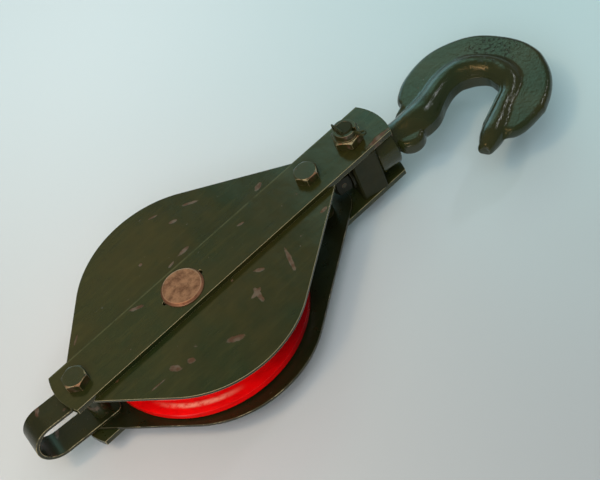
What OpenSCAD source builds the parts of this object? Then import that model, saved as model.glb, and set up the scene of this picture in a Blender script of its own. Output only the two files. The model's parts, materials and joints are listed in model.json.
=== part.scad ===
// Single-sheave pulley block for hauling rope, with a becket at one end and a
// swivel hook in a tilting crosshead at the other. It lies on its side.
// X runs along the straps to the hook and Z along the axle.
// The origin is the middle of the axle.

/* [View] */
// Piece to draw
// Angle of the hook to the straps
hook_tilt = -10; // [-35:1:35]
// Angle of the becket to the straps
becket_turn = -5; // [-85:0.5:85]

/* [Sheave and axle] */
// Outside diameter of the sheave
sheave_d = 126; // [100:1:150]
// Width of the sheave at its hub
hub_w = 27; // [26:0.5:34]
// Diameter of the hub
hub_d = 52; // [46:1:60]
// Thickness of the web between hub and rim
web_t = 10; // [6:0.5:14]
// Step down from the hub face to the rim face
rim_relief = 0.2; // [0.2:0.1:1.5]
// Diameter of the rope groove
groove_d = 14; // [10:0.5:16]
// Depth of the groove's centre below the rim
groove_depth = 5; // [3:0.5:7]
// Widening of the groove at the rim, on each side
groove_flare = 1; // [0.5:0.1:1.5]
// Metal between the groove and the web
rim_under = 7; // [5:0.5:9]
// Rounding of the rim's edges
rim_round = 1.9; // [0.6:0.1:2.2]
// Diameter of the axle
axle_d = 25; // [20:0.5:28]
// Height of the axle's ends above the straps
axle_proud = 1.8; // [0.5:0.1:4]
// Chamfer on the axle's ends
axle_chamfer = 1.2; // [0.5:0.1:2]
// Wall of the bush in the sheave
bush_wall = 3.5; // [2:0.25:5]

/* [Straps] */
// Width of the strap bars
strap_w = 30; // [29:0.5:36]
// Thickness of the strap bars
strap_t = 3.7; // [3:0.1:8]
// Bow of the strap ends
strap_bow = 3.4; // [1:0.1:6]
// Length of strap beyond the becket bolt
strap_tail = 10.2; // [9.5:0.5:16]
// Length of strap beyond the crosshead's axis
strap_head = 19.2; // [14:0.1:20]
// Radius of the two staking notches beside the axle
notch_r = 1.6; // [0.8:0.1:2.5]

/* [Cheeks] */
// Thickness of the cheek plates
cheek_t = 2; // [1.5:0.1:3]
// Sideways offset of the two bulges from the middle
cheek_side = 7.7; // [6:0.1:16]
// Lengthwise offset of the bulges
cheek_shift = 3; // [0:0.5:6]
// Radius of the cheek tip at the becket
becket_tip_r = 14; // [13:0.5:18]
// Radius of the cheek tip at the crosshead
head_tip_r = 13; // [11:0.5:14]
// Distance of the becket tip's centre inboard of its bolt
becket_tip_in = 5; // [2:0.5:8]
// Distance of the crosshead tip's centre outboard of its bolt
head_tip_out = 5; // [2:0.5:6]

/* [Bolts] */
// Diameter of the two through bolts
bolt_d = 8; // [6:0.5:9]
// Width of bolt heads and nuts across flats
bolt_af = 13; // [12:0.5:15]
// Height of the bolt heads
bolt_head_h = 5.3; // [4:0.1:7]
// Height of the bolt nuts
bolt_nut_h = 6.5; // [5:0.1:8]
// Thread beyond the bolt nuts
bolt_out = 1; // [0.5:0.1:4]
// Diameter of the bolt washers
washer_d = 16; // [15.5:0.5:20]
// Thickness of the bolt washers
washer_t = 1.6; // [1:0.1:2.5]
// Diameter of the spacer tube at the crosshead end
head_spacer_d = 12; // [11:0.5:14]
// Diameter of the spacer tube in the becket
becket_spacer_d = 11; // [10.5:0.5:14]
// Distance from the sheave's rim to the bolt by the crosshead
head_bolt_gap = 30.6; // [28:0.2:44]
// Turn of the hexagon on the bolt by the crosshead
head_bolt_hex = 58; // [0:1:59]
// Turn of the hexagon on the becket bolt
becket_bolt_hex = 20; // [0:1:59]

/* [Becket] */
// Width of the becket's bar
becket_w = 16.4; // [14:0.2:22]
// Thickness of the becket's bar
becket_t = 2.2; // [1.8:0.1:5]
// Distance from the becket bolt to the centre of the bend
becket_leg = 26.7; // [20:0.1:40]
// Length of the legs beyond the bolt
becket_tail = 10.1; // [8:0.1:13]
// Rounding of the legs' corners beyond the bolt
becket_round = 3.9; // [0.5:0.1:6]
// Room between the legs' swing and the sheave
becket_room = 0.4; // [0.3:0.1:4]

/* [Crosshead] */
// Distance from the head bolt to the crosshead's axis
pivot_gap = 32; // [30:0.5:42]
// Size of the block along the hook
cross_l = 16.4; // [15:0.2:18]
// Size of the block across the hook
cross_w = 29; // [26:0.2:31]
// Chamfer on the block's corners
cross_chamfer = 1; // [0.4:0.1:1.6]
// Diameter of the journals in the straps
journal_d = 12; // [10:0.5:13]
// Diameter of the threaded ends
stud_d = 10; // [8:0.5:10.5]
// Width of the trunnion nuts across flats
trunnion_nut_af = 16; // [15:0.5:19]
// Height of the trunnion nuts, with their slots
trunnion_nut_h = 10; // [8:0.2:11]
// Turn of the hexagon on the trunnion nuts
trunnion_nut_hex = 18; // [0:1:59]
// Diameter of the slotted crown on the trunnion nuts
crown_d = 13.4; // [12.8:0.1:14.6]
// Depth of the slot across that crown
slot_depth = 4; // [3.3:0.1:5]
// Thread beyond the trunnion nuts
stud_out = 0.8; // [0.4:0.1:4]
// Diameter of the split pins
split_pin_d = 2.2; // [1.6:0.1:2.4]
// Direction of the front split pin, from the hook's line
split_turn = 128; // [0:1:359]
// Direction of the rear split pin, from the hook's line
rear_split_turn = 320; // [0:1:359]
// Skew of the split pins' leg over the stud
split_skew = 30; // [0:1:40]
// Length of the split pins' leg over the stud
split_over = 9; // [4:0.5:10]

/* [Hook] */
// Diameter of the shank in the crosshead
shank_d = 14; // [12.5:0.5:15]
// Diameter of the shank's thread
hook_thread_d = 12; // [10:0.5:12]
// Length of the collar
collar_l = 13.6; // [7:0.1:14]
// Distance from the crosshead's axis to the bottom of the bowl
hook_reach = 123.8; // [115:0.1:150]
// Width of the hook over bowl and tip
hook_width = 87.9; // [78:0.1:98]
// Thickness of the neck and rib, as a share of the drawn one
hook_rib = 1; // [0.9:0.01:1.12]
// Thickness of the thin outer web
hook_web_t = 8; // [6:0.2:10]
// Radius of the ear for a latch
ear_r = 9; // [7:0.2:10]
// Distance from the collar to the middle of the ear
ear_gap = 9.9; // [9:0.1:15]
// Thickness of the ear
ear_t = 10; // [8:0.2:13]
// Width of the hook nut across flats
hook_nut_af = 19; // [17:0.5:22]
// Height of the hook nut
hook_nut_h = 10; // [8:0.5:11]
// Thread beyond the hook nut
hook_thread_out = 2; // [1:0.1:2.5]
// Diameter of the hook washer
hook_washer_d = 24; // [22:0.5:25]
// Thickness of the hook washer
hook_washer_t = 1.5; // [1:0.1:2]
// Diameter of the pin through the hook nut
nut_pin_d = 3; // [2:0.1:4]

/* [Fits] */
// Radial clearance of everything that turns
fit = 0.05; // [0.02:0.01:0.1]
// Gap between pieces that sit together
seat = 0.02; // [0.01:0.01:0.05]
// Play of the sheave's hub on each side
hub_play = 0.5; // [0.3:0.05:0.8]
// Play of the crosshead's block between the straps, on each side
side_play = 0.2; // [0.1:0.05:0.4]
// Play of the becket between the cheeks, on each side
becket_play = 0.4; // [0.3:0.1:1.5]
// Play of the spacer tube between the becket's legs
tube_play = 0.2; // [0.1:0.05:0.5]
// Play of the crosshead's nuts along its axis
nut_play = 0.25; // [0.1:0.05:0.4]
// Play of the hook along its shank, on each side
swivel_play = 0.4; // [0.3:0.05:0.6]
// Radial clearance of the split pins
split_play = 0.2; // [0.1:0.05:0.3]

/* [Hidden] */

$fn = 96;
olive = [0.22, 0.24, 0.13];
red = [0.72, 0.11, 0.07];
steel = [0.55, 0.48, 0.40];
zinc = [0.50, 0.50, 0.48];
bronze = [0.66, 0.50, 0.28];

// Levels above the middle plane
cheek_z = hub_w / 2 + hub_play;
strap_z = cheek_z + cheek_t + seat;
strap_top = strap_z + strap_t;
washer_z = strap_top + seat;
bolt_nut_z = washer_z + washer_t + seat;
bolt_end_z = bolt_nut_z + bolt_nut_h + bolt_out;
shoulder_z = strap_top + nut_play;
trunnion_nut_z = shoulder_z + seat;
trunnion_nut_top = trunnion_nut_z + trunnion_nut_h;
stud_end_z = trunnion_nut_top + stud_out;
split_z = trunnion_nut_top - slot_depth + split_play + split_pin_d / 2;

// Places along the straps
sheave_r = sheave_d / 2;
tail_corner = norm([becket_tail - becket_round, becket_w / 2 - becket_round]) + becket_round;
becket_x = -(sheave_r + becket_room + tail_corner);
head_x = sheave_r + head_bolt_gap;
pivot_x = head_x + pivot_gap;
strap_end_r = (strap_bow * strap_bow + strap_w * strap_w / 4) / (2 * strap_bow);

// Step in from the crosshead's block to the collar
collar_step = 1.8;

// Heights of the becket and the crosshead's block
becket_h = 2 * (cheek_z - becket_play);
cross_h = 2 * (strap_z - side_play);

// Places along the hook's shank, from the crosshead's axis
collar_start = cross_l / 2 + swivel_play;
collar_end = collar_start + collar_l;
collar_r = cross_h / 2 - collar_step;
hook_washer_x = -(cross_l / 2 + swivel_play + hook_washer_t);
hook_nut_x = hook_washer_x - seat - hook_nut_h;
thread_end_x = hook_nut_x - hook_thread_out;
// Distance of the ear's middle from the shank's axis
ear_side = 8 * hook_rib;

// Inset of the cheeks' straight edges from their round parts
edge_inset = 0.02;
// Chamfer on thread ends and turned edges
thread_chamfer = 0.8;
// Share of a nut's face that its chamfer leaves flat
nut_face = 0.95;
// Distances of a split pin's eye from the nut's crown, of its leg from the stud's side
// and of the bent leg from the stud's end
eye_out = 2.7;
leg_out = 1.8;
leg_over = 0.1;
// Height of the trunnion nuts' crown below its slot
crown_sill = 0.3;

// Straps and cheeks

// Two points where a straight edge meets circle a and circle b, on one side.
// The edge lies a hair inside both circles, so that it crosses them cleanly.
function edge_points(a, a_r, b, b_r, side) =
    let (gap = b - a,
         lean = atan2(gap.y, gap.x) + side * acos((a_r - b_r) / norm(gap)),
         dir = [cos(lean), sin(lean)])
    [a + (a_r - edge_inset) * dir, b + (b_r - edge_inset) * dir];

// A flat bar with bowed ends, drilled for the axle, the bolts and a journal
module strap(z) {
    from = becket_x - strap_tail;
    to = pivot_x + strap_head;
    color(olive) translate([0, 0, z]) difference() {
        intersection() {
            translate([from - 2 * strap_bow, -strap_w / 2, 0])
                cube([to - from + 4 * strap_bow, strap_w, strap_t]);
            union() {
                translate([from + 1, -strap_w, -1]) cube([to - from - 2, 2 * strap_w, strap_t + 2]);
                translate([from - strap_bow + strap_end_r, 0, -1])
                    cylinder(r = strap_end_r, h = strap_t + 2);
                translate([to + strap_bow - strap_end_r, 0, -1])
                    cylinder(r = strap_end_r, h = strap_t + 2);
            }
        }
        translate([0, 0, -1]) cylinder(d = axle_d + 2 * seat, h = strap_t + 2);
        for (side = [-1, 1])
            translate([side * axle_d / 2, 0, -1]) cylinder(r = notch_r, h = strap_t + 2);
        for (x = [becket_x, head_x])
            translate([x, 0, -1]) cylinder(d = bolt_d + 2 * seat, h = strap_t + 2);
        translate([pivot_x, 0, -1]) cylinder(d = journal_d + 2 * fit, h = strap_t + 2);
    }
}

module front_strap() {
    strap(strap_z);
}

module rear_strap() {
    strap(-strap_top);
}

// Upper end points of the cheek's straight edge from its bulge to one tip
function taper(tip_x, tip_r, side) =
    edge_points([cheek_shift, cheek_side], sheave_r, [tip_x, 0], tip_r, side);

module cheek(z) {
    becket_tip_x = becket_x + becket_tip_in;
    head_tip_x = head_x + head_tip_out;
    becket_side = taper(becket_tip_x, becket_tip_r, -1);
    head_side = taper(head_tip_x, head_tip_r, 1);
    upper = [becket_side[1], becket_side[0], head_side[0], head_side[1]];
    color(olive) translate([0, 0, z]) difference() {
        union() {
            for (side = [-1, 1])
                translate([cheek_shift, side * cheek_side, 0]) cylinder(r = sheave_r, h = cheek_t);
            linear_extrude(cheek_t)
                polygon(concat(upper, [for (i = [3 : -1 : 0]) [upper[i].x, -upper[i].y]]));
            translate([becket_tip_x, 0, 0]) cylinder(r = becket_tip_r, h = cheek_t);
            translate([head_tip_x, 0, 0]) cylinder(r = head_tip_r, h = cheek_t);
        }
        translate([0, 0, -1]) cylinder(d = axle_d + 2 * seat, h = cheek_t + 2);
        for (x = [becket_x, head_x])
            translate([x, 0, -1]) cylinder(d = bolt_d + 2 * seat, h = cheek_t + 2);
    }
}

module front_cheek() {
    cheek(cheek_z);
}

module rear_cheek() {
    cheek(-cheek_z - cheek_t);
}

// Axle and sheave

module axle() {
    end_z = strap_top + axle_proud;
    rim_z = end_z - axle_chamfer;
    r = axle_d / 2;
    color(steel) rotate_extrude()
        polygon([[0, -end_z], [r - axle_chamfer, -end_z], [r, -rim_z], [r, rim_z],
                 [r - axle_chamfer, end_z], [0, end_z]]);
}

module sheave_profile() {
    bore_r = axle_d / 2 + fit + bush_wall + seat;
    hub_r = hub_d / 2;
    groove_r = groove_d / 2;
    groove_c = sheave_r - groove_depth;
    rim_in = groove_c - groove_r - rim_under;
    rim_half = hub_w / 2 - rim_relief;
    mouth = groove_r + groove_flare;
    difference() {
        union() {
            translate([bore_r, -hub_w / 2]) square([hub_r - bore_r, hub_w]);
            translate([hub_r - 1, -web_t / 2]) square([rim_in - hub_r + 2, web_t]);
            translate([rim_in, -rim_half]) square([sheave_r - rim_round - rim_in, 2 * rim_half]);
            translate([rim_in, rim_round - rim_half])
                square([sheave_r - rim_in, 2 * (rim_half - rim_round)]);
            for (side = [-1, 1])
                translate([sheave_r - rim_round, side * (rim_half - rim_round)]) circle(r = rim_round);
        }
        translate([groove_c, 0]) circle(r = groove_r);
        polygon([[groove_c, -groove_r], [sheave_r, -mouth], [sheave_r + 1, -mouth],
                 [sheave_r + 1, mouth], [sheave_r, mouth], [groove_c, groove_r]]);
    }
}

module sheave() {
    color(red) rotate_extrude() sheave_profile();
}

// A plain tube along Z from z up
module tube(outer_d, bore_d, length, z) {
    translate([0, 0, z]) difference() {
        cylinder(d = outer_d, h = length);
        translate([0, 0, -1]) cylinder(d = bore_d, h = length + 2);
    }
}

module sheave_bush() {
    bore_d = axle_d + 2 * fit;
    color(bronze) tube(bore_d + 2 * bush_wall, bore_d, hub_w, -hub_w / 2);
}

// Bolts, washers and nuts

// A hexagon with chamfered corners, on both faces or on the outer one only
module hexagon(af, h, both = true) {
    face_r = nut_face * af / 2;
    reach = af / 2 / cos(30) + 0.2;
    drop = (reach - face_r) * tan(30);
    low = both ? [[face_r, 0], [reach, drop]] : [[reach, 0]];
    intersection() {
        cylinder(d = af / cos(30), h = h, $fn = 6);
        rotate_extrude()
            polygon(concat([[0, 0]], low, [[reach, h - drop], [face_r, h], [0, h]]));
    }
}

module nut(af, h, bore_d) {
    difference() {
        hexagon(af, h);
        translate([0, 0, -1]) cylinder(d = bore_d, h = h + 2);
    }
}

// A rod along Z with chamfered ends
module rod(d, from, to) {
    r = d / 2;
    rotate_extrude()
        polygon([[0, from], [r - thread_chamfer, from], [r, from + thread_chamfer],
                 [r, to], [0, to]]);
}

module through_bolt(x, turn) {
    color(olive) translate([x, 0, 0]) rotate([0, 0, turn]) {
        rod(bolt_d, -bolt_end_z, washer_z + 1);
        translate([0, 0, washer_z]) hexagon(bolt_af, bolt_head_h, both = false);
    }
}

module rear_washer(x) {
    color(olive) translate([x, 0, 0])
        tube(washer_d, bolt_d + 2 * seat, washer_t, -washer_z - washer_t);
}

module rear_nut(x, turn) {
    color(olive) translate([x, 0, -bolt_nut_z - bolt_nut_h]) rotate([0, 0, turn])
        nut(bolt_af, bolt_nut_h, bolt_d + 2 * seat);
}

module head_bolt() {
    through_bolt(head_x, head_bolt_hex);
}

module head_bolt_spacer() {
    length = 2 * (cheek_z - seat);
    color(olive) translate([head_x, 0, 0])
        tube(head_spacer_d, bolt_d + 2 * seat, length, -length / 2);
}

module head_bolt_washer() {
    rear_washer(head_x);
}

module head_bolt_nut() {
    rear_nut(head_x, head_bolt_hex);
}

module becket_bolt() {
    through_bolt(becket_x, becket_bolt_hex);
}

module becket_bolt_spacer() {
    length = becket_h - 2 * becket_t - 2 * tube_play;
    color(olive) translate([becket_x, 0, 0])
        tube(becket_spacer_d, bolt_d + 2 * seat, length, -length / 2);
}

module becket_bolt_washer() {
    rear_washer(becket_x);
}

module becket_bolt_nut() {
    rear_nut(becket_x, becket_bolt_hex);
}

// Becket

// Outline of the becket seen from its side, at a depth below its outer face
module becket_side(depth, tail) {
    half = becket_h / 2 - depth;
    translate([-becket_leg, 0]) circle(r = half);
    translate([-becket_leg, -half]) square([becket_leg + tail, 2 * half]);
}

module becket() {
    straight = becket_tail - becket_round;
    side = becket_w / 2 - becket_round;
    color(olive) translate([becket_x, 0, 0]) rotate([0, 0, becket_turn]) difference() {
        intersection() {
            rotate([90, 0, 0]) linear_extrude(becket_w, center = true) difference() {
                becket_side(0, becket_tail);
                becket_side(becket_t, becket_tail + 1);
            }
            union() {
                translate([straight - 2 * becket_leg - becket_h, -becket_w, -becket_h])
                    cube([2 * becket_leg + becket_h, 2 * becket_w, 2 * becket_h]);
                translate([0, -side, -becket_h]) cube([becket_tail + 1, 2 * side, 2 * becket_h]);
                for (y = [-side, side])
                    translate([straight, y, 0])
                        cylinder(r = becket_round, h = 2 * becket_h, center = true);
            }
        }
        cylinder(d = bolt_d + 2 * fit, h = becket_h + 2, center = true);
    }
}

// Crosshead and its nuts

module at_crosshead() {
    translate([pivot_x, 0, 0]) rotate([0, 0, hook_tilt]) children();
}

module crosshead() {
    half_l = cross_l / 2;
    half_w = cross_w / 2;
    c = cross_chamfer;
    journal_r = journal_d / 2;
    stud_r = stud_d / 2;
    color(olive) at_crosshead() difference() {
        union() {
            linear_extrude(cross_h, center = true)
                polygon([[half_l, c - half_w], [half_l, half_w - c], [half_l - c, half_w],
                         [c - half_l, half_w], [-half_l, half_w - c], [-half_l, c - half_w],
                         [c - half_l, -half_w], [half_l - c, -half_w]]);
            rotate_extrude()
                polygon([[0, -stud_end_z], [stud_r - thread_chamfer, -stud_end_z],
                         [stud_r, thread_chamfer - stud_end_z], [stud_r, -shoulder_z],
                         [journal_r, -shoulder_z], [journal_r, shoulder_z],
                         [stud_r, shoulder_z], [stud_r, stud_end_z - thread_chamfer],
                         [stud_r - thread_chamfer, stud_end_z], [0, stud_end_z]]);
        }
        rotate([0, 90, 0]) cylinder(d = shank_d + 2 * fit, h = cross_l + 2, center = true);
        for (hole = [[-1, rear_split_turn], [1, split_turn]])
            translate([0, 0, hole[0] * split_z]) rotate([0, 90, hole[1]])
                cylinder(d = split_pin_d + 2 * split_play, h = stud_d + 2, center = true);
    }
}

// A nut with a round crown on its outer side, which a slot in the split pin's
// direction cuts through
module trunnion_nut(turn) {
    slot_w = split_pin_d + 2 * split_play;
    color(olive) at_crosshead() translate([0, 0, trunnion_nut_z]) difference() {
        union() {
            rotate([0, 0, trunnion_nut_hex])
                hexagon(trunnion_nut_af, trunnion_nut_h - slot_depth - crown_sill);
            cylinder(d = crown_d, h = trunnion_nut_h);
        }
        translate([0, 0, -1]) cylinder(d = stud_d + 2 * seat, h = trunnion_nut_h + 2);
        rotate([0, 0, turn]) translate([0, 0, trunnion_nut_h - slot_depth / 2 + 1])
            cube([2 * trunnion_nut_af, slot_w, slot_depth + 2], center = true);
    }
}

module front_trunnion_nut() {
    trunnion_nut(split_turn);
}

module rear_trunnion_nut() {
    mirror([0, 0, 1]) trunnion_nut(rear_split_turn);
}

// A split pin through the slot. Its eye is on one side; on the other, a leg is bent
// up and over the stud's end.
module split_pin(turn) {
    leg_r = 0.3 * split_pin_d;
    eye_r = 0.65 * split_pin_d;
    eye_wire = 0.35 * split_pin_d;
    eye_x = -crown_d / 2 - eye_out;
    leg_x = stud_d / 2 + leg_out;
    over_z = stud_end_z - split_z + leg_r + leg_over;
    color(zinc) at_crosshead() translate([0, 0, split_z]) rotate([0, 0, turn]) {
        translate([eye_x - eye_r, 0, 0]) rotate_extrude()
            translate([eye_r, 0]) circle(r = eye_wire);
        translate([eye_x, 0, 0]) rotate([0, 90, 0])
            cylinder(d = split_pin_d, h = leg_x - eye_x + leg_r);
        translate([leg_x, 0, 0]) cylinder(r = leg_r, h = over_z);
        translate([leg_x, 0, over_z]) sphere(r = leg_r);
        translate([leg_x, 0, over_z]) rotate([0, -90, -split_skew])
            cylinder(r = leg_r, h = split_over);
    }
}

module front_split_pin() {
    split_pin(split_turn);
}

module rear_split_pin() {
    mirror([0, 0, 1]) split_pin(rear_split_turn);
}

// Hook

// Hand-laid stations of the hook at its drawn size, from the collar to the tip.
// Each one gives the place along and across the shank, the rib's radius and
// how far the thin web reaches outward from the rib's middle.
drawn_reach = 123.8;
drawn_width = 87.9;
stations = [
    [14, 0, 9, 9],
    [27, -0.9, 8.7, 8.7],
    [37.1, -1, 10, 14],
    [46.7, 0.1, 10.6, 18.1],
    [57, 5.3, 8.9, 23],
    [66.3, 9.8, 8.5, 24.8],
    [75.6, 11.7, 8.8, 26],
    [83, 10.6, 9.5, 26.2],
    [89.1, 7.4, 9.5, 26.6],
    [94.7, 1.6, 9, 25.6],
    [97.9, -4.6, 8.7, 25.4],
    [98.3, -11.2, 8.5, 25.3],
    [97.2, -17.5, 7.5, 23.4],
    [92.6, -23, 6.4, 23.1],
    [85.2, -27.7, 6.2, 23.2],
    [74.4, -35.6, 7, 17.6],
    [66.7, -40.5, 7, 8.4],
    [60.4, -44.4, 5.2, 5.2],
    [57.3, -45.4, 3.8, 3.8],
    [56.6, -46, 1.8, 1.8]
];
// Sections between one station and the next
station_steps = 2;
// Distance over which the web fades in beyond the rib
web_fade = 6;
// Largest rounding of the web's edge
web_round = 2.4;

// Stretch along the hook beyond its collar, and across it
stretch_x = (hook_reach - collar_end) / (drawn_reach - collar_end);
stretch_y = hook_width / drawn_width;

function fitted(s) = [
    s[0] < collar_end ? s[0] : collar_end + (s[0] - collar_end) * stretch_x,
    s[1] * stretch_y,
    s[2] * hook_rib,
    s[3] * max(stretch_y, hook_rib)
];
function row(i) = fitted(stations[max(0, min(len(stations) - 1, i))]);

// A smooth curve from row i to row i + 1
function between(i, t) =
    let (a = row(i - 1), b = row(i), c = row(i + 1), d = row(i + 2))
    b + t / 2 * (c - a) + t * t / 2 * (2 * a - 5 * b + 4 * c - d)
      + t * t * t / 2 * (3 * b - a - 3 * c + d);

hook_path = concat(
    [for (i = [0 : len(stations) - 2]) for (k = [0 : station_steps - 1]) between(i, k / station_steps)],
    [row(len(stations) - 1)]);

// Rounding of the outer edge of a section
function edge_round(rib_r, reach) = 0.1 * rib_r + min(web_round, 0.3 * (reach - rib_r));

// Half the section's thickness at a distance outward from the rib's middle.
// The web fades in as it reaches past the rib.
function half_thickness(out, rib_r, reach) =
    let (share = max(0, min(1, (reach - rib_r) / web_fade)),
         web = share * hook_web_t / 2,
         round = edge_round(rib_r, reach),
         inside = reach - round,
         edge = out <= inside ? 1 : sqrt(max(0, 1 - pow((out - inside) / round, 2))),
         rib = abs(out) < rib_r ? sqrt(rib_r * rib_r - out * out) : 0)
    max(rib, web * edge);

// Upper half of a section, from the outer edge to the side of the bowl
function section_half(rib_r, reach) =
    let (round = edge_round(rib_r, reach),
         inside = reach - round,
         shoulder = 0.88 * rib_r,
         outs = [reach - 0.13 * round, reach - 0.5 * round, inside,
                 shoulder + 0.6 * (inside - shoulder), shoulder + 0.25 * (inside - shoulder),
                 shoulder, 0.65 * rib_r, 0.35 * rib_r, 0,
                 -0.38 * rib_r, -0.71 * rib_r, -0.92 * rib_r])
    concat([[reach, 0]],
           [for (o = outs) [o, half_thickness(o, rib_r, reach)]],
           [[-rib_r, 0]]);

function section_ring(i) =
    let (s = hook_path[i],
         last = len(hook_path) - 1,
         ahead = hook_path[min(last, i + 1)] - hook_path[max(0, i - 1)],
         run = norm([ahead[0], ahead[1]]),
         normal = [-ahead[1], ahead[0]] / run,
         half = section_half(s[2], max(s[2], s[3])),
         m = len(half),
         ring = concat(half, [for (k = [m - 2 : -1 : 1]) [half[k][0], -half[k][1]]]))
    [for (p = ring) [s[0] + normal.x * p[0], s[1] + normal.y * p[0], p[1]]];

module hook_body() {
    rings = [for (i = [0 : len(hook_path) - 1]) section_ring(i)];
    m = len(rings[0]);
    last = len(rings) - 1;
    sides = [for (i = [0 : last - 1]) for (k = [0 : m - 1])
        let (a = i * m + k, b = i * m + (k + 1) % m)
        each [[a, a + m, b + m], [a, b + m, b]]];
    polyhedron(
        points = [for (r = rings) each r],
        faces = concat([[for (k = [0 : m - 1]) k]], sides,
                       [[for (k = [m - 1 : -1 : 0]) last * m + k]]));
}

// Shank, thread and collar turned about the hook's axis
module hook_shank() {
    r = shank_d / 2;
    t = hook_thread_d / 2;
    end = thread_end_x;
    shoulder = hook_washer_x + hook_washer_t - seat;
    c = thread_chamfer;
    rotate([0, 90, 0]) rotate_extrude()
        polygon([[0, end], [t - c, end], [t, end + c], [t, shoulder], [r, shoulder],
                 [r, collar_start], [collar_r - c, collar_start], [collar_r, collar_start + c],
                 [collar_r, collar_end - c], [collar_r - c, collar_end], [0, collar_end]]);
}

module hook() {
    color(olive) at_crosshead() difference() {
        union() {
            hook_body();
            hook_shank();
            translate([collar_end + ear_gap, -ear_side, 0])
                cylinder(r = ear_r, h = ear_t, center = true);
        }
        translate([hook_nut_x + hook_nut_h / 2, 0, 0]) rotate([90, 0, 0])
            cylinder(d = nut_pin_d + 2 * seat, h = hook_nut_af + 2, center = true);
    }
}

module hook_washer() {
    color(zinc) at_crosshead() rotate([0, 90, 0])
        tube(hook_washer_d, hook_thread_d + 2 * seat, hook_washer_t - 2 * seat, hook_washer_x + seat);
}

module hook_nut() {
    color(zinc) at_crosshead() difference() {
        translate([hook_nut_x, 0, 0]) rotate([0, 90, 0])
            nut(hook_nut_af, hook_nut_h, hook_thread_d + 2 * seat);
        translate([hook_nut_x + hook_nut_h / 2, 0, 0]) rotate([90, 0, 0])
            cylinder(d = nut_pin_d + 2 * seat, h = 2 * hook_nut_af, center = true);
    }
}

module hook_nut_pin() {
    color(steel) at_crosshead() translate([hook_nut_x + hook_nut_h / 2, 0, 0])
        rotate([90, 0, 0]) cylinder(d = nut_pin_d, h = hook_nut_af, center = true);
}

front_strap();
rear_strap();
front_cheek();
rear_cheek();
axle();
sheave();
sheave_bush();
head_bolt();
head_bolt_spacer();
head_bolt_washer();
head_bolt_nut();
becket_bolt();
becket_bolt_spacer();
becket_bolt_washer();
becket_bolt_nut();
becket();
crosshead();
front_trunnion_nut();
rear_trunnion_nut();
front_split_pin();
rear_split_pin();
hook();
hook_washer();
hook_nut();
hook_nut_pin();
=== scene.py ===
"""Looks of a pulley block: olive plates and bars, a red sheave and a forged swivel hook."""

import json
import math

import bmesh
import bpy
from mathutils import Matrix, Vector


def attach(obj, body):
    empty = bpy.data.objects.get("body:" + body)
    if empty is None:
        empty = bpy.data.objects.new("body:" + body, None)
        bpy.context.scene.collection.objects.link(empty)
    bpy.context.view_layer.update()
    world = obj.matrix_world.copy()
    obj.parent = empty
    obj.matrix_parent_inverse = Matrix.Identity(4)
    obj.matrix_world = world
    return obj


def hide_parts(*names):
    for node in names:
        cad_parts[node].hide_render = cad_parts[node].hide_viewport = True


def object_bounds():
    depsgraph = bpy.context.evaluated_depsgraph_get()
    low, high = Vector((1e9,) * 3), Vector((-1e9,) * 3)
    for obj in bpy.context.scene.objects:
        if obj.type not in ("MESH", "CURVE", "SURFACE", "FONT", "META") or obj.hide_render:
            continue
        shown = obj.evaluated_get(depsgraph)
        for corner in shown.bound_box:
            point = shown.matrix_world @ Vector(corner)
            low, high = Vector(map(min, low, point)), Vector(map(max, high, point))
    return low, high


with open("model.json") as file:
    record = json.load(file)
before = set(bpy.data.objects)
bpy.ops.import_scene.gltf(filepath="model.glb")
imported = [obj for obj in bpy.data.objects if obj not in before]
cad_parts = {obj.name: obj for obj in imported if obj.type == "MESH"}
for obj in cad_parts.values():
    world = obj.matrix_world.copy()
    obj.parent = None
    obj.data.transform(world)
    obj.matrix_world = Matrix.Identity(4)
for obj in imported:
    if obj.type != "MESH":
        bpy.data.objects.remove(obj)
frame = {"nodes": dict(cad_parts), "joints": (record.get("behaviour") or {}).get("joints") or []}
for startup in ("Cube", "Light", "Camera"):
    if startup in bpy.data.objects:
        bpy.data.objects.remove(bpy.data.objects[startup])
cad_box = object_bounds()

MM = 0.001

# Places that the pieces share, in metres, from the frame
joint_at = {j["child"]: Vector(j["pos_m"]) for j in frame["joints"]}
PIVOT = joint_at["crosshead"]
HOOK_TILT = math.radians(-10)
HOOK_PLACE = Matrix.Translation(PIVOT) @ Matrix.Rotation(HOOK_TILT, 4, "Z")


# Meshes

def add_piece(name, mesh, body, slot, *nodes):
    """Puts a mesh in the scene as a piece that rides on a body and stands for CAD nodes."""
    piece = bpy.data.objects.new(name, mesh)
    bpy.context.scene.collection.objects.link(piece)
    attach(piece, body)
    if nodes:
        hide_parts(*nodes)
    return piece


def finish_mesh(bm, name, sharp_over=40):
    """Turns a bmesh into a mesh that is smooth except over its sharp edges."""
    bmesh.ops.recalc_face_normals(bm, faces=bm.faces)
    mesh = bpy.data.meshes.new(name)
    bm.to_mesh(mesh)
    bm.free()
    mesh.shade_smooth()
    mesh.set_sharp_from_angle(angle=math.radians(sharp_over))
    return mesh


def weighted(piece):
    """Keeps flat faces flat where they run into rounded edges."""
    normals = piece.modifiers.new("flat faces", "WEIGHTED_NORMAL")
    normals.keep_sharp = True
    normals.weight = 100
    return piece


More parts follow.
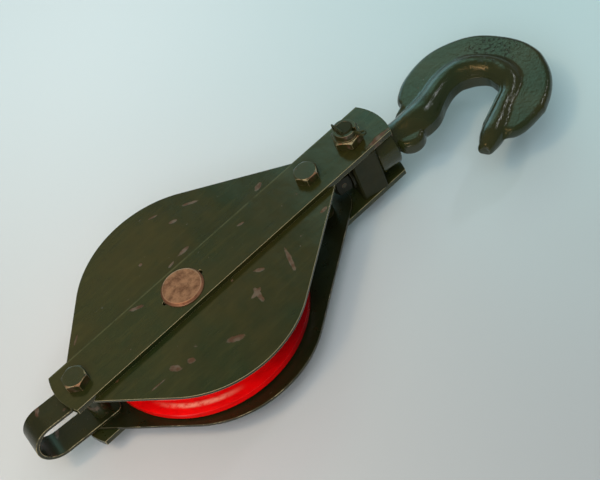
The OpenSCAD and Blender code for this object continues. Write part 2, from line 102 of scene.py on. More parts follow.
def rounded(node, body, slot, width, steps=3, sharp_over=28):
    """A copy of a CAD node with its sharp edges rounded, and those faces marked for wear.

    Upright faces take the piece's second material, where it has one.
    """
    bm = bmesh.new()
    bm.from_mesh(frame["nodes"][node].data)
    bmesh.ops.remove_doubles(bm, verts=bm.verts, dist=0.002 * MM)
    bmesh.ops.dissolve_limit(
        bm, angle_limit=math.radians(0.4), verts=bm.verts, edges=bm.edges, delimit={"NORMAL"}
    )
    edges = [e for e in bm.edges
             if len(e.link_faces) == 2 and e.calc_face_angle(0) > math.radians(sharp_over)]
    for face in bm.faces:
        face.material_index = 1 if abs(face.normal.z) < 0.5 else 0
    worn = bm.faces.layers.float.new("edge")
    made = bmesh.ops.bevel(
        bm, geom=edges, offset=width, offset_type="OFFSET", segments=steps, profile=0.5,
        affect="EDGES", clamp_overlap=True, loop_slide=True,
    )
    for face in made["faces"]:
        face[worn] = 1.0
        face.material_index = 0
    piece = add_piece(node + "_finished", finish_mesh(bm, node + "_finished"), body, slot, node)
    return weighted(piece)


# Materials

def rgb(red, green, blue):
    """A display colour from 0 to 255, as the linear colour that shaders take."""
    def linear(c):
        c /= 255
        return c / 12.92 if c <= 0.04045 else ((c + 0.055) / 1.055) ** 2.4
    return (linear(red), linear(green), linear(blue), 1.0)


class Graph:
    """Builds one material's nodes with short calls."""

    def __init__(self, name, tree=None):
        if tree is None:
            self.material = bpy.data.materials.new(name)
            self.material.use_nodes = True
            tree = self.material.node_tree
        self.tree = tree
        self.tree.nodes.clear()
        placed = self.add("ShaderNodeTexCoord")
        self.place = placed.outputs["Object"]
        self.facing = placed.outputs["Normal"]

    def add(self, kind, *values, **settings):
        """A node with its settings, and values or sockets for its first inputs."""
        made = self.tree.nodes.new(kind)
        for key, value in settings.items():
            setattr(made, key, value)
        for socket, value in zip(made.inputs, values):
            self.put(socket, value)
        return made

    def put(self, socket, value):
        if isinstance(value, bpy.types.NodeSocket):
            self.tree.links.new(value, socket)
        elif value is not None:
            socket.default_value = value

    def math(self, operation, *values, clamp=False):
        return self.add("ShaderNodeMath", *values, operation=operation, use_clamp=clamp).outputs[0]

    def vector(self, operation, *values):
        return self.add("ShaderNodeVectorMath", *values, operation=operation)

    def noise(self, size, detail=2.0, roughness=0.5, place=None, stretch=None):
        """Noise from 0 to 1 whose features measure about size, in metres."""
        place = place or self.place
        if stretch:
            place = self.vector("MULTIPLY", place, stretch).outputs[0]
        made = self.add("ShaderNodeTexNoise")
        self.put(made.inputs["Vector"], place)
        made.inputs["Scale"].default_value = 1 / size
        made.inputs["Detail"].default_value = detail
        made.inputs["Roughness"].default_value = roughness
        return made.outputs["Fac"]

    def step(self, value, low, high):
        """0 below low and 1 above high, smooth between them."""
        made = self.add("ShaderNodeMapRange", value, low, high, interpolation_type="SMOOTHSTEP")
        return made.outputs["Result"]

    def mix(self, share, a, b):
        """Colour a where share is 0, and b where it is 1."""
        made = self.add("ShaderNodeMix", data_type="RGBA")
        for key, value in (("Factor_Float", share), ("A_Color", a), ("B_Color", b)):
            self.put(next(i for i in made.inputs if i.identifier == key), value)
        return next(o for o in made.outputs if o.identifier == "Result_Color")

    def blend(self, share, a, b):
        """Number a where share is 0, and b where it is 1."""
        return self.math("MULTIPLY_ADD", share, b - a, a)

    def edge(self):
        """1 on faces that were rounded off an edge."""
        made = self.add("ShaderNodeAttribute", attribute_name="edge")
        return made.outputs["Fac"]

    def bump(self, height, depth, below=None):
        """A normal from a height that runs from 0 to 1 over depth, in metres."""
        made = self.add("ShaderNodeBump")
        made.inputs["Strength"].default_value = 1.0
        made.inputs["Distance"].default_value = depth
        self.put(made.inputs["Height"], height)
        if below is not None:
            self.put(made.inputs["Normal"], below)
        return made.outputs["Normal"]

    def surface(self, colour, roughness, metallic=0.0, normal=None, level=0.5):
        shader = self.add("ShaderNodeBsdfPrincipled")
        shader.inputs["Specular IOR Level"].default_value = level
        self.put(shader.inputs["Base Color"], colour)
        self.put(shader.inputs["Roughness"], roughness)
        self.put(shader.inputs["Metallic"], metallic)
        if normal is not None:
            self.put(shader.inputs["Normal"], normal)
        out = self.add("ShaderNodeOutputMaterial")
        self.tree.links.new(shader.outputs[0], out.inputs["Surface"])
        return self.material


OLIVE = rgb(34, 38, 15)
OLIVE_WARM = rgb(42, 41, 16)
OLIVE_COOL = rgb(28, 38, 17)
PRIMER = rgb(112, 92, 80)
RUST = rgb(88, 46, 28)
BARE = rgb(150, 141, 108)
# Coppery wear colour, partly a painted warm glint.
COPPERY_WEAR_AND_GLINT = rgb(140, 102, 74)

# Scuffs on the front cheek: the middle, length, width in millimetres, and the angle
FRONT_SCUFFS = [
    (25.3, -35.4, 13, 3.2, -101),
    (25.0, -34.0, 9, 3.0, 10),
    (-0.5, -47.5, 12, 4.0, -33),
    (-33.3, -35.0, 8, 4.4, -50),
    (-24.9, -38.2, 5, 3.6, -45),
    (35.5, -23.5, 7, 2.6, -40),
    (50.9, -32.8, 18, 2.6, -110),
    (-46.0, -35.6, 11, 1.0, -2),
    (-59.6, -15.1, 2.4, 1.4, 0),
    (40.0, 46.9, 12, 2.0, -31),
    (19.2, 57.9, 7, 1.4, -20),
    (72.3, 21.8, 7, 3.4, 20),
    (16.3, 22.8, 9, 2.8, 4),
    (6.0, 21.2, 5, 1.6, 12),
    (-5.8, 36.3, 2.0, 1.8, 0),
    (-60.3, 26.0, 7, 1.2, 40),
    (25.3, 44.8, 6, 2.2, -20),
    (84.7, -22.6, 6, 2.6, 4),
]
STRAP_SCUFFS = [
    (-25.4, 10.9, 11, 2.6, -28),
    (-10.0, -5.0, 4, 1.2, 30),
    (48.0, 6.5, 5, 1.4, -15),
    (134.0, 5.5, 5, 2.0, 60),
    (136.0, -13.5, 17, 3.4, 2),
]
BECKET_SCUFFS = [(-100.8, 8.4, 8, 2.6, 60)]
REAR_SCUFFS = [(-x * 0.8 + 9, y * 0.9, length, width, 70 - turn)
               for x, y, length, width, turn in FRONT_SCUFFS[::2]]


def scuff_mask(g, scuffs):
    """Ragged marks where the paint is rubbed through to its primer."""
    nearest = None
    for x, y, length, width, turn in scuffs:
        moved = g.add("ShaderNodeMapping", vector_type="TEXTURE")
        g.put(moved.inputs["Vector"], g.place)
        moved.inputs["Location"].default_value = (x * MM, y * MM, 0)
        moved.inputs["Rotation"].default_value = (0, 0, math.radians(turn))
        moved.inputs["Scale"].default_value = (length / 2 * MM, width / 2 * MM, 1)
        flat = g.vector("MULTIPLY", moved.outputs[0], (1, 1, 0)).outputs[0]
        near = g.math("SUBTRACT", 1.0, g.vector("LENGTH", flat).outputs["Value"])
        nearest = near if nearest is None else g.math("MAXIMUM", nearest, near)
    ragged = g.math("MULTIPLY_ADD", g.noise(3.4 * MM, 5, 0.62), 1.3, -0.6)
    return g.step(g.math("ADD", nearest, ragged), 0.0, 0.38)


def olive_paint(name, scuffs=(), wear=0.5, near_wear_and_highlight=0.3, chips=0.5, cast=0.0, pits=None,
                copper_and_glint=0.3, streaks=1.0, near_rub=0.0, rough=0.3, level=0.4, grime_and_shade=0.0, chamfer_wear_and_glint=0.0, dents=0.0,
                far_rim_highlight=0.0):
    """Dark glossy enamel, rubbed through on edges and scuffed to a grey-brown primer, with painted light and
    shade in places.

    wear is the share of edge rubbed bare and near_wear_and_highlight adds to it on the -Y side, as wear and
    partly a painted highlight on the lit edges there. chips is how common small marks are, and copper is the
    share of coppery colour on worn edges, coppery wear and partly painted warm glints.
    cast is the depth of a rough casting under the paint, with pits around one place.
    streaks is the strength of the brush marks along X, and near_rub is how far the faces
    on the -Y side are rubbed. grime is the share of dark colour over the paint, soiling and partly painted
    shade, and chamfer is how far the sloped faces on the -Y side are painted bright, as wear and partly painted
    glints. dents is the depth of the slow waves in a sheet, and beyond far_rim_highlight in Y the paint is
    lightened in patches, a painted highlight along the far edge.
    """
    g = Graph(name)
    slow = g.noise(38 * MM, 2, 0.5)
    cloud = g.noise(9 * MM, 4, 0.6)
    streak = g.noise(3 * MM, 3, 0.6, stretch=(0.16, 1, 1))
    colour = g.mix(g.step(slow, 0.35, 0.65), OLIVE_COOL, OLIVE_WARM)
    colour = g.mix(g.step(cloud, 0.4, 0.75), colour, OLIVE)
    light = g.math("MULTIPLY", g.step(streak, 0.5, 0.75), 0.3 * streaks)
    colour = g.mix(light, colour, rgb(58, 56, 26))
    dark = g.math("MULTIPLY", g.step(streak, 0.48, 0.25), 0.35 * streaks)
    colour = g.mix(dark, colour, rgb(28, 31, 14))
    # Dark colour over the paint: soiling, and partly painted shade on pieces that sit behind or between other
    # parts.
    if grime_and_shade:
        dirt_and_shade = g.math("MULTIPLY_ADD", g.noise(14 * MM, 4, 0.6), 0.5, grime_and_shade - 0.25)
        colour = g.mix(g.math("MAXIMUM", dirt_and_shade, 0.0), colour, rgb(12, 11, 7))
    way = g.add("ShaderNodeSeparateXYZ", g.facing).outputs
    near = g.step(way[1], 0.05, -0.6)

    chip = g.step(g.math("ADD", g.noise(6 * MM, 5, 0.7), (chips - 0.5) * 0.1), 0.68, 0.74)
    rubbed = chip
    if scuffs:
        rubbed = g.math("MAXIMUM", chip, scuff_mask(g, scuffs))
    if near_rub:
        blotch = g.math("MULTIPLY_ADD", near, near_rub, g.noise(4.5 * MM, 5, 0.65))
        rubbed = g.math("MAXIMUM", rubbed, g.math("MULTIPLY", near, g.step(blotch, 0.6, 0.75)))
    under = g.mix(g.step(g.noise(4 * MM, 3), 0.4, 0.62), PRIMER, RUST)
    colour = g.mix(g.math("MULTIPLY", rubbed, 0.54), colour, under)
    # Painted highlight: a lighter, broken line along the far edge beyond far_rim_highlight in Y.
    if far_rim_highlight:
        rim = g.step(g.add("ShaderNodeSeparateXYZ", g.place).outputs[1], far_rim_highlight, far_rim_highlight + 0.5 * MM)
        rim = g.math("MULTIPLY", rim, g.step(g.noise(8 * MM, 4, 0.6), 0.25, 0.55))
        colour = g.mix(g.math("MULTIPLY", rim, 0.26), colour, rgb(100, 104, 72))
    thin = g.math("MULTIPLY", g.edge(), g.step(g.noise(7 * MM, 3, 0.6), 0.3, 0.6))
    colour = g.mix(g.math("MULTIPLY", thin, 0.3), colour, rgb(104, 100, 74))

    rub = g.math("ADD", g.noise(9 * MM, 6, 0.72), (wear - 0.5) * 0.5)
    # Edges on the -Y side are rubbed brighter: wear, and partly a painted highlight on the lit edges.
    rub = g.math("MULTIPLY_ADD", near, near_wear_and_highlight, rub)
    bare = g.math("MULTIPLY", g.edge(), g.step(rub, 0.5, 0.62))
    # Sloped faces on the -Y side painted bright: wear, and partly painted glints.
    if chamfer_wear_and_glint:
        sloped = g.math("MULTIPLY", g.step(way[2], 0.2, 0.4), g.step(way[2], 0.97, 0.9))
        patch = g.math("ADD", g.noise(3.2 * MM, 5, 0.7), chamfer_wear_and_glint - 0.5)
        patch = g.math("MULTIPLY", g.step(patch, 0.42, 0.56), g.step(way[1], 0.0, -0.25))
        bare = g.math("MAXIMUM", bare, g.math("MULTIPLY", sloped, patch))
    # Bare edges are part pale metal, part coppery: wear, and partly painted warm glints.
    kind = g.step(g.math("ADD", g.noise(5 * MM, 3), copper_and_glint - 0.5), 0.42, 0.58)
    colour = g.mix(bare, colour, g.mix(kind, BARE, COPPERY_WEAR_AND_GLINT))

    roughness = g.math("MULTIPLY_ADD", g.noise(5 * MM, 4, 0.6), 0.7 * rough, 0.65 * rough)
    roughness = g.math("ADD", roughness, g.math("MULTIPLY", rubbed, 0.25))
    roughness = g.math("ADD", roughness, g.math("MULTIPLY", bare, 0.1))

    normal = g.bump(g.noise(16 * MM, 2, 0.5), 0.22 * MM)
    if dents:
        normal = g.bump(g.noise(48 * MM, 1, 0.4), dents, normal)
    if streaks:
        normal = g.bump(streak, 0.05 * MM * streaks, normal)
    normal = g.bump(g.noise(1.3 * MM, 2, 0.5), 0.02 * MM, normal)
    if cast:
        normal = g.bump(g.noise(2.6 * MM, 5, 0.65), cast, normal)
    if pits:
        x, y, reach = pits
        flat = g.vector("MULTIPLY", g.vector("SUBTRACT", g.place, (x * MM, y * MM, 0)).outputs[0], (1, 1, 0))
        away = g.vector("LENGTH", flat.outputs[0]).outputs["Value"]
        within = g.step(away, reach * MM, 0.45 * reach * MM)
        holes = g.step(g.noise(2.1 * MM, 3, 0.6), 0.56, 0.66)
        holes = g.math("MULTIPLY", holes, within)
        normal = g.bump(g.math("SUBTRACT", 1.0, holes), 0.5 * MM, normal)
        colour = g.mix(g.math("MULTIPLY", holes, 0.55), colour, rgb(24, 20, 12))
    normal = g.bump(g.math("SUBTRACT", 1.0, rubbed), 0.04 * MM, normal)
    return g.surface(colour, roughness, g.math("MULTIPLY", bare, 0.25), normal, level)


def shaded_cut_edge(name):
    """Dark, dull colour on the sawn and sheared sides of plates and bars: scale, and partly painted shade."""
    g = Graph(name)
    patch = g.noise(7 * MM, 5, 0.65)
    colour = g.mix(g.step(patch, 0.35, 0.7), rgb(10, 10, 6), rgb(26, 24, 13))
    colour = g.mix(g.math("MULTIPLY", g.step(g.noise(11 * MM, 4, 0.6), 0.58, 0.7), 0.6), colour, rgb(74, 48, 32))
    normal = g.bump(g.noise(1.2 * MM, 3, 0.6), 0.06 * MM)
    return g.surface(colour, g.math("MULTIPLY_ADD", patch, 0.2, 0.42), 0.0, normal, 0.1)


# Radius of the painted highlight band in the groove.
GROOVE_HIGHLIGHT_R = 57.9 * MM


def red_paint(name):
    """Bright red enamel, with a painted highlight in the groove and painted shade on one side."""
    g = Graph(name)
    colour = g.mix(g.step(g.noise(12 * MM, 4, 0.6), 0.35, 0.7), rgb(236, 8, 10), rgb(216, 6, 10))
    # Painted shade: the red is darker towards +X.
    painted_shade_side = g.step(g.add("ShaderNodeSeparateXYZ", g.place).outputs[0], -0.008, 0.034)
    colour = g.mix(g.math("MULTIPLY", painted_shade_side, 0.75), colour, rgb(74, 3, 13))
    flat = g.vector("MULTIPLY", g.place, (1, 1, 0)).outputs[0]
    off = g.math("ABSOLUTE", g.math("SUBTRACT", g.vector("LENGTH", flat).outputs["Value"], GROOVE_HIGHLIGHT_R))
    # Painted highlight: a pale band in the groove on the -X side, fading at both ends.
    groove_highlight = g.math("MULTIPLY", g.step(off, 2.0 * MM, 0.3 * MM),
                  g.step(g.add("ShaderNodeSeparateXYZ", g.place).outputs[0], -0.010, -0.032))
    groove_highlight = g.math("MULTIPLY", groove_highlight, g.step(g.add("ShaderNodeSeparateXYZ", g.place).outputs[0], -0.054, -0.040))
    groove_highlight = g.math("MULTIPLY", groove_highlight, g.step(g.noise(3 * MM, 4, 0.6), 0.2, 0.6))
    colour = g.mix(g.math("MULTIPLY", groove_highlight, 0.85), colour, rgb(255, 176, 146))
    speck = g.step(g.noise(1.8 * MM, 4, 0.7), 0.7, 0.78)
    colour = g.mix(g.math("MULTIPLY", speck, 0.5), colour, rgb(150, 30, 22))
    colour = g.mix(g.math("MULTIPLY", g.edge(), 0.25), colour, rgb(240, 60, 40))
    normal = g.bump(g.noise(9 * MM, 3, 0.5), 0.35 * MM)
    normal = g.bump(g.noise(1.6 * MM, 2, 0.5), 0.04 * MM, normal)
    roughness = g.math("MULTIPLY_ADD", g.noise(4 * MM, 3), 0.14, 0.12)
    return g.surface(colour, roughness, 0.0, normal)


def bare_steel(name, colour, dark, turned_about=None, shine=0.42):
    """Bare metal with a brown bloom and, on turned faces, fine rings."""
    g = Graph(name)
    bloom = g.noise(4.5 * MM, 5, 0.65)
    tint = g.mix(g.step(bloom, 0.35, 0.68), colour, dark)
    tint = g.mix(g.math("MULTIPLY", g.step(g.noise(1.1 * MM, 4, 0.7), 0.6, 0.75), 0.6), tint, RUST)
    tint = g.mix(g.math("MULTIPLY", g.edge(), 0.6), tint, rgb(214, 170, 140))
    roughness = g.math("MULTIPLY_ADD", bloom, 0.3, shine - 0.12)
    normal = g.bump(g.noise(1.4 * MM, 4, 0.6), 0.05 * MM)
    if turned_about:
        away = g.vector("SUBTRACT", g.place, turned_about).outputs[0]
        flat = g.vector("MULTIPLY", away, (1, 1, 0)).outputs[0]
        rings = g.math("SINE", g.math("MULTIPLY", g.vector("LENGTH", flat).outputs["Value"], 9000.0))
        normal = g.bump(rings, 0.004 * MM, normal)
    return g.surface(tint, roughness, 0.85, normal)


def dress(piece, *materials):
    """Gives a piece its materials; a piece with only one has it on every face."""
    piece.data.materials.clear()
    for material in materials:
        piece.data.materials.append(material)
    if len(materials) == 1:
        for face in piece.data.polygons:
            face.material_index = 0
    return piece


# grime darkens the rear cheek, becket, crosshead and the hook's nut and washer: soiling and partly painted
# shade.
FINISHES = {
    "front_strap": olive_paint("strap_paint_front", STRAP_SCUFFS, wear=0.1, near_wear_and_highlight=0.5, copper_and_glint=0.12,
                               rough=0.2, dents=0.5 * MM, far_rim_highlight=13.8 * MM),
    "rear_strap": olive_paint("strap_paint_rear", STRAP_SCUFFS[:2], wear=0.1, near_wear_and_highlight=0.3),
    "front_cheek": olive_paint("cheek_paint_front", FRONT_SCUFFS, wear=0.2, near_wear_and_highlight=0.42, copper_and_glint=0.1,
                               rough=0.2, dents=1.1 * MM),
    "rear_cheek": olive_paint("cheek_paint_rear", REAR_SCUFFS, wear=0.3, near_wear_and_highlight=0.1, grime_and_shade=0.55),
    "axle": bare_steel("axle_steel", rgb(190, 134, 104), rgb(134, 88, 66), (0, 0, 0)),
    "sheave": red_paint("sheave_paint"),
    "sheave_bush": bare_steel("bush_bronze", rgb(186, 146, 88), rgb(140, 100, 54), (0, 0, 0)),
    "fastener": olive_paint("fastener_paint", wear=0.12, near_wear_and_highlight=0.5, chips=0.9, copper_and_glint=0.5,
                            streaks=0.0, near_rub=0.1, chamfer_wear_and_glint=0.5, level=0.55),
    "becket": olive_paint("becket_paint", BECKET_SCUFFS, wear=0.25, near_wear_and_highlight=0.2, chips=0.8, grime_and_shade=0.3),
    "crosshead": olive_paint("crosshead_paint", wear=0.2, streaks=0.0, rough=0.45, level=0.2,
                             grime_and_shade=0.35),
    "shaft": olive_paint("shaft_paint", wear=0.0, near_wear_and_highlight=0.0, streaks=0.0, rough=0.35, level=0.2,
                         grime_and_shade=0.7),
    "pin": olive_paint("pin_steel", wear=0.5, chips=1.2, copper_and_glint=0.7, streaks=0.0),
    "hook": olive_paint("hook_paint", wear=0.3, cast=0.24 * MM, pits=(231, -8, 19), streaks=0.0,
                        rough=0.12, level=0.5),
}
SHADED_CUT_EDGE = shaded_cut_edge("shaded_cut_edge")


# Plates, bars and fasteners, as their CAD nodes with rounded edges
PLAIN_PIECES = [
    ("front_strap", "block", "strap_paint", 0.6, "front_strap"),
    ("rear_strap", "block", "strap_paint", 0.5, "rear_strap"),
    ("front_cheek", "block", "cheek_paint", 0.3, "front_cheek"),
    ("rear_cheek", "block", "cheek_paint", 0.3, "rear_cheek"),
    ("axle", "block", "axle_steel", 0.25, "axle"),
    ("sheave", "wheel", "sheave_paint", 0.3, "sheave"),
    ("sheave_bush", "wheel", "bush_bronze", 0.15, "sheave_bush"),
    ("becket", "becket", "becket_paint", 0.5, "becket"),
    ("crosshead", "crosshead", "crosshead_paint", 0.3, "crosshead"),
    ("front_trunnion_nut", "crosshead", "fastener_paint", 0.4, "fastener"),
    ("rear_trunnion_nut", "crosshead", "fastener_paint", 0.4, "fastener"),
    ("front_split_pin", "crosshead", "pin_steel", 0.1, "pin"),
    ("rear_split_pin", "crosshead", "pin_steel", 0.1, "pin"),
    ("hook_washer", "hook", "pin_steel", 0.15, "shaft"),
    ("hook_nut", "hook", "pin_steel", 0.25, "shaft"),
    ("hook_nut_pin", "hook", "pin_steel", 0.1, "pin"),
]
for bolt in ("head_bolt", "becket_bolt"):
    PLAIN_PIECES.append((bolt, "block", "fastener_paint", 0.4, "fastener"))
    for kind in ("spacer", "washer", "nut"):
        PLAIN_PIECES.append((f"{bolt}_{kind}", "block", "fastener_paint", 0.2, "fastener"))
for node, body, slot, width, finish in PLAIN_PIECES:
    materials = [FINISHES[finish]]
    # Upright sides of straps and cheeks take a dark colour: scale, and partly painted shade.
    if node.endswith(("strap", "cheek")):
        materials.append(SHADED_CUT_EDGE)
    dress(rounded(node, body, slot, width * MM), *materials)


# Hook

# Stations from the collar to the tip, in millimetres: the place along and
# across the shank, the rib's radius and how far the thin web reaches from its middle
HOOK_STATIONS = [
    (14, 0, 9, 9),
    (27, -0.9, 8.7, 8.7),
    (37.1, -1, 10, 14),
    (46.7, 0.1, 10.6, 18.1),
    (57, 5.3, 8.9, 23),
    (66.3, 9.8, 8.5, 24.8),
    (75.6, 11.7, 8.8, 26),
    (83, 10.6, 9.5, 26.2),
    (89.1, 7.4, 9.5, 26.6),
    (94.7, 1.6, 9, 25.6),
    (97.9, -4.6, 8.7, 25.4),
    (98.3, -11.2, 8.5, 25.3),
    (97.2, -17.5, 7.5, 23.4),
    (92.6, -23, 6.4, 23.1),
    (85.2, -27.7, 6.2, 23.2),
    (74.4, -35.6, 7, 17.6),
    (66.7, -40.5, 7, 8.4),
    (60.4, -44.4, 5.2, 5.2),
    (57.3, -45.4, 3.8, 3.8),
    (56.6, -46, 1.8, 1.8),
]
STATION_STEPS = 8
SECTION_STEPS = 28
WEB_T = 8
WEB_FADE = 6
HOOK_VOXEL = 0.55 * MM
HOOK_SMOOTHING = 7
SHANK_R = 7
THREAD_R = 6
THREAD_PITCH = 1.75
THREAD_END_X = -22.12
THREAD_FROM_X = -10.12
COLLAR_FROM_X = 8.6
COLLAR_TO_X = 22.2
COLLAR_R = 14.02
COLLAR_CHAMFER = 0.8
EAR_AT = (32.1, -8)
EAR_R = 9
EAR_T = 10
EAR_ROUND = 3


def between(rows, i, t):
    """A smooth curve from row i to row i + 1."""
    a, b, c, d = (rows[max(0, min(len(rows) - 1, k))] for k in (i - 1, i, i + 1, i + 2))
    return [
        q + t / 2 * (r - p) + t * t / 2 * (2 * p - 5 * q + 4 * r - s) + t ** 3 / 2 * (3 * q - p - 3 * r + s)
        for p, q, r, s in zip(a, b, c, d)
    ]


def half_thickness(out, rib, reach):
    """Half the hook's thickness at a distance outward from the rib's middle."""
    past = reach - rib
    web = max(0.0, min(1.0, past / WEB_FADE)) * WEB_T / 2
    rounding = 0.1 * rib + min(2.4, 0.3 * past)
    inside = reach - rounding
    edge = 1.0 if out <= inside else math.sqrt(max(0.0, 1 - ((out - inside) / rounding) ** 2))
    round_part = math.sqrt(rib * rib - out * out) if abs(out) < rib else 0.0
    return max(round_part, web * edge)


def section_ring(here, ahead):
    """One closed section of the hook, square to its path."""
    x, y, rib, reach = here
    reach = max(rib, reach)
    normal = Vector((-ahead[1], ahead[0])).normalized()
    outs = [reach + (-rib - reach) * (1 - math.cos(math.pi * k / SECTION_STEPS)) / 2
            for k in range(SECTION_STEPS + 1)]
    upper = [(o, half_thickness(o, rib, reach)) for o in outs[1:-1]]
    ring = [(reach, 0)] + upper + [(-rib, 0)] + [(o, -h) for o, h in reversed(upper)]
    return [(x + normal.x * o, y + normal.y * o, h) for o, h in ring]


def add_loft(bm, rings):
    """Skins closed rings of equal count, with a face on each end."""
    rows = [[bm.verts.new(Vector(p) * MM) for p in ring] for ring in rings]
    count = len(rows[0])
    for a, b in zip(rows, rows[1:]):
        for k in range(count):
            n = (k + 1) % count
            bm.faces.new((a[k], a[n], b[n], b[k]))
    bm.faces.new(rows[0][::-1])
    bm.faces.new(rows[-1])


def add_turned(bm, profile, sides=64, axis="X"):
    """Revolves a profile of (along, radius) points; both ends lie on the axis."""
    rows = []
    for along, r in profile:
        ring = []
        for k in range(sides):
            a = 2 * math.pi * k / sides
            across = (max(r, 1e-3) * math.cos(a), max(r, 1e-3) * math.sin(a))
            ring.append((along, *across) if axis == "X" else (*across, along))
        rows.append(ring)
    add_loft(bm, rows)


def shell(bm, name):
    """A temporary object that holds a bmesh while modifiers work on it."""
    bmesh.ops.recalc_face_normals(bm, faces=bm.faces)
    mesh = bpy.data.meshes.new(name)
    bm.to_mesh(mesh)
    bm.free()
    made = bpy.data.objects.new(name, mesh)
    bpy.context.scene.collection.objects.link(made)
    return made


def with_modifiers_applied(made):
    """The mesh that a temporary object's modifiers give; the object goes."""
    depsgraph = bpy.context.evaluated_depsgraph_get()
    mesh = bpy.data.meshes.new_from_object(made.evaluated_get(depsgraph), depsgraph=depsgraph)
    bpy.data.objects.remove(made)
    return mesh


def forged_hook():
    """The hook's body, collar and ear as one blended forging."""
    path = [between(HOOK_STATIONS, i, k / STATION_STEPS)
            for i in range(len(HOOK_STATIONS) - 1) for k in range(STATION_STEPS)]
    path.append(list(HOOK_STATIONS[-1]))
    rings = []
    for i, here in enumerate(path):
        before, after = path[max(0, i - 1)], path[min(len(path) - 1, i + 1)]
        rings.append(section_ring(here, (after[0] - before[0], after[1] - before[1])))
    bm = bmesh.new()
    add_loft(bm, rings)
    c = COLLAR_CHAMFER
    add_turned(bm, [(COLLAR_FROM_X, 0), (COLLAR_FROM_X, COLLAR_R - c), (COLLAR_FROM_X + c, COLLAR_R),
                    (COLLAR_TO_X - c, COLLAR_R), (COLLAR_TO_X, COLLAR_R - c), (COLLAR_TO_X, 0)])
    ear = bmesh.new()
    rim = [(EAR_T / 2 - EAR_ROUND * (1 - math.cos(a)), EAR_R - EAR_ROUND * (1 - math.sin(a)))
           for a in (math.radians(15 * k) for k in range(7))]
    below = [(-along, r) for along, r in rim]
    add_turned(ear, [(-EAR_T / 2, 0)] + below + rim[::-1] + [(EAR_T / 2, 0)], axis="Z")
    bmesh.ops.translate(ear, verts=ear.verts, vec=(EAR_AT[0] * MM, EAR_AT[1] * MM, 0))
    ear_mesh = bpy.data.meshes.new("ear")
    ear.to_mesh(ear_mesh)
    ear.free()
    bm.from_mesh(ear_mesh)
    made = shell(bm, "hook_shell")
    remesh = made.modifiers.new("blend", "REMESH")
    remesh.mode = "VOXEL"
    remesh.voxel_size = HOOK_VOXEL
    smooth = made.modifiers.new("forged", "SMOOTH")
    smooth.factor = 0.5
    smooth.iterations = HOOK_SMOOTHING
    mesh = with_modifiers_applied(made)
    mesh.transform(HOOK_PLACE)
    mesh.shade_smooth()
    return mesh


def hook_shank():
    """Plain shank and thread behind the collar."""
    bm = bmesh.new()
    c = COLLAR_CHAMFER
    add_turned(bm, [(THREAD_END_X, 0), (THREAD_END_X, THREAD_R - c), (THREAD_END_X + c, THREAD_R),
                    (THREAD_FROM_X, THREAD_R), (THREAD_FROM_X, SHANK_R),
                    (COLLAR_FROM_X + 1, SHANK_R), (COLLAR_FROM_X + 1, 0)])
    mesh = finish_mesh(bm, "hook_shank")
    mesh.transform(HOOK_PLACE)
    return mesh


dress(add_piece("hook_forging", forged_hook(), "hook", "hook_paint", "hook"), FINISHES["hook"])
dress(add_piece("hook_shank", hook_shank(), "hook", "hook_paint", "hook"), FINISHES["hook"])


# Stage

def soft_world():
    """Pale to the camera; to the object a dim room with a cool window and a warm ceiling."""
    world = bpy.data.worlds.new("room")
    world.use_nodes = True
    bpy.context.scene.world = world
    g = Graph("room", world.node_tree)
    way = g.vector("NORMALIZE", g.add("ShaderNodeTexCoord").outputs["Generated"]).outputs[0]

    def lobe(azimuth, elevation, inner, outer):
        """1 within inner degrees of a direction, fading to 0 at outer degrees."""
        a, e = math.radians(azimuth), math.radians(elevation)
        aim = (math.cos(a) * math.cos(e), math.sin(a) * math.cos(e), math.sin(e))
        near = g.vector("DOT_PRODUCT", way, aim).outputs["Value"]
        return g.step(near, math.cos(math.radians(outer)), math.cos(math.radians(inner)))

    colour = g.mix(0.0, AMBIENT, AMBIENT)
    for azimuth, elevation, inner, outer, tint in LOBES:
        colour = g.mix(lobe(azimuth, elevation, inner, outer), colour, tint)
    seen = g.add("ShaderNodeLightPath").outputs["Is Camera Ray"]
    shown = g.mix(seen, colour, BACKDROP)
    background = g.add("ShaderNodeBackground", shown, 1.0)
    out = g.add("ShaderNodeOutputWorld")
    g.tree.links.new(background.outputs[0], out.inputs["Surface"])


AMBIENT = (0.17, 0.18, 0.165, 1.0)
BACKDROP = rgb(206, 218, 220)
LOBES = [
    (57, 41, 2, 13, (0.98, 1.92, 1.56, 1.0)),
    (85, 47.5, 1, 9, (0.92, 0.78, 0.38, 1.0)),
    (76, 17, 4, 20, (1.15, 2.20, 2.30, 1.0)),
    (-177, 70, 3, 12, (3.4, 2.1, 0.80, 1.0)),
]
soft_world()


def area_lamp(name, azimuth, elevation, distance, size, power, colour, mirrored=True, height=None):
    """A soft lamp that faces the middle of the block, square unless it has its own height."""
    lamp = bpy.data.objects.new(name, bpy.data.lights.new(name, "AREA"))
    bpy.context.scene.collection.objects.link(lamp)
    lamp.data.size = size
    if height:
        lamp.data.shape = "RECTANGLE"
        lamp.data.size_y = height
    lamp.data.energy = power
    lamp.data.color = colour
    lamp.visible_glossy = mirrored
    a, e = math.radians(azimuth), math.radians(elevation)
    away = Vector((math.cos(a) * math.cos(e), math.sin(a) * math.cos(e), math.sin(e)))
    lamp.location = LIT_POINT + away * distance
    lamp.rotation_mode = "QUATERNION"
    lamp.rotation_quaternion = away.to_track_quat("Z", "Y")
    return lamp


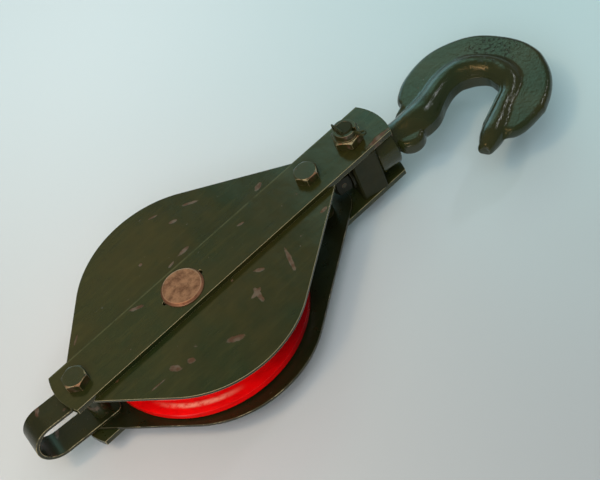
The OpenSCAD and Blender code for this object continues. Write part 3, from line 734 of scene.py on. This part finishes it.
LIT_POINT = Vector((0.06, 0, 0))
area_lamp("overhead", -132, 57, 1.5, 1.2, 13.0, (0.91, 0.98, 1.0), mirrored=False)
area_lamp("ceiling", 60, 84, 1.5, 2.6, 9.4, (0.97, 1.0, 1.0), mirrored=False)
area_lamp("side", -124, 26, 1.4, 0.8, 3.4, (1.0, 0.96, 0.94), mirrored=False)
area_lamp("room", -142, 11, 1.4, 0.7, 2.3, (1.0, 0.80, 0.66), height=0.14)
area_lamp("window", -2, 43, 1.5, 0.07, 1.5, (0.93, 0.98, 1.0), height=0.14)
area_lamp("warm", -166, 66, 1.4, 0.13, 2.2, (1.0, 0.60, 0.28))
pool = bpy.data.objects.new("pool", bpy.data.lights.new("pool", "SPOT"))
bpy.context.scene.collection.objects.link(pool)
pool.data.energy = 12
pool.data.color = (1.0, 0.52, 0.42)
pool.data.spot_size = math.radians(9)
pool.data.spot_blend = 1.0
pool.data.shadow_soft_size = 0.08
pool.visible_glossy = False
pool.location = Vector((-0.35, -0.36, 0.78))
pool.rotation_mode = "QUATERNION"
pool.rotation_quaternion = (pool.location - Vector((-0.006, 0.008, 0.02))).to_track_quat("Z", "Y")

floor_mesh = bpy.data.meshes.new("floor")
FLOOR_HALF = 3.0
floor_z = cad_box[0].z
floor_mesh.from_pydata(
    [(x * FLOOR_HALF, y * FLOOR_HALF, floor_z) for x, y in ((-1, -1), (1, -1), (1, 1), (-1, 1))],
    [], [(0, 1, 2, 3)])
floor = bpy.data.objects.new("floor", floor_mesh)
bpy.context.scene.collection.objects.link(floor)
g = Graph("floor_paper")
# Pale paper with painted light and shade: darker across towards +X -Y and paler towards +X +Y.
across = g.step(g.vector("DOT_PRODUCT", g.place, (0.76, -0.65, 0.0)).outputs["Value"], -0.14, 0.24)
upward = g.step(g.vector("DOT_PRODUCT", g.place, (0.80, 0.60, 0.0)).outputs["Value"], -0.10, 0.30)
paper_with_painted_shade = g.mix(upward, g.mix(across, rgb(202, 203, 205), rgb(161, 167, 172)),
              g.mix(across, rgb(219, 235, 244), rgb(180, 208, 216)))
floor.data.materials.append(g.surface(paper_with_painted_shade, 0.9, 0.0, g.bump(g.noise(2 * MM, 3), 0.02 * MM)))


# Camera at the photograph's angle
CAMERA_AT = Vector((-0.0893, -0.4517, 0.5478))
LOOKED_AT = Vector((0.0678, -0.0136, -0.001))
CAMERA_ROLL = -26.80
SENSOR = 36.0
FRAME_WIDTH = 600
FOCAL_PIXELS = 1286.9

camera = bpy.data.objects.new("camera", bpy.data.cameras.new("camera"))
bpy.context.scene.collection.objects.link(camera)
bpy.context.scene.camera = camera
camera.data.lens = SENSOR * FOCAL_PIXELS / FRAME_WIDTH
camera.data.sensor_width = SENSOR
camera.data.clip_start = 0.01
camera.location = CAMERA_AT
turn = (LOOKED_AT - CAMERA_AT).to_track_quat("-Z", "Y")
camera.rotation_mode = "QUATERNION"
camera.rotation_quaternion = turn @ Matrix.Rotation(math.radians(CAMERA_ROLL), 3, "Z").to_quaternion()

bpy.context.scene.view_settings.view_transform = "Standard"
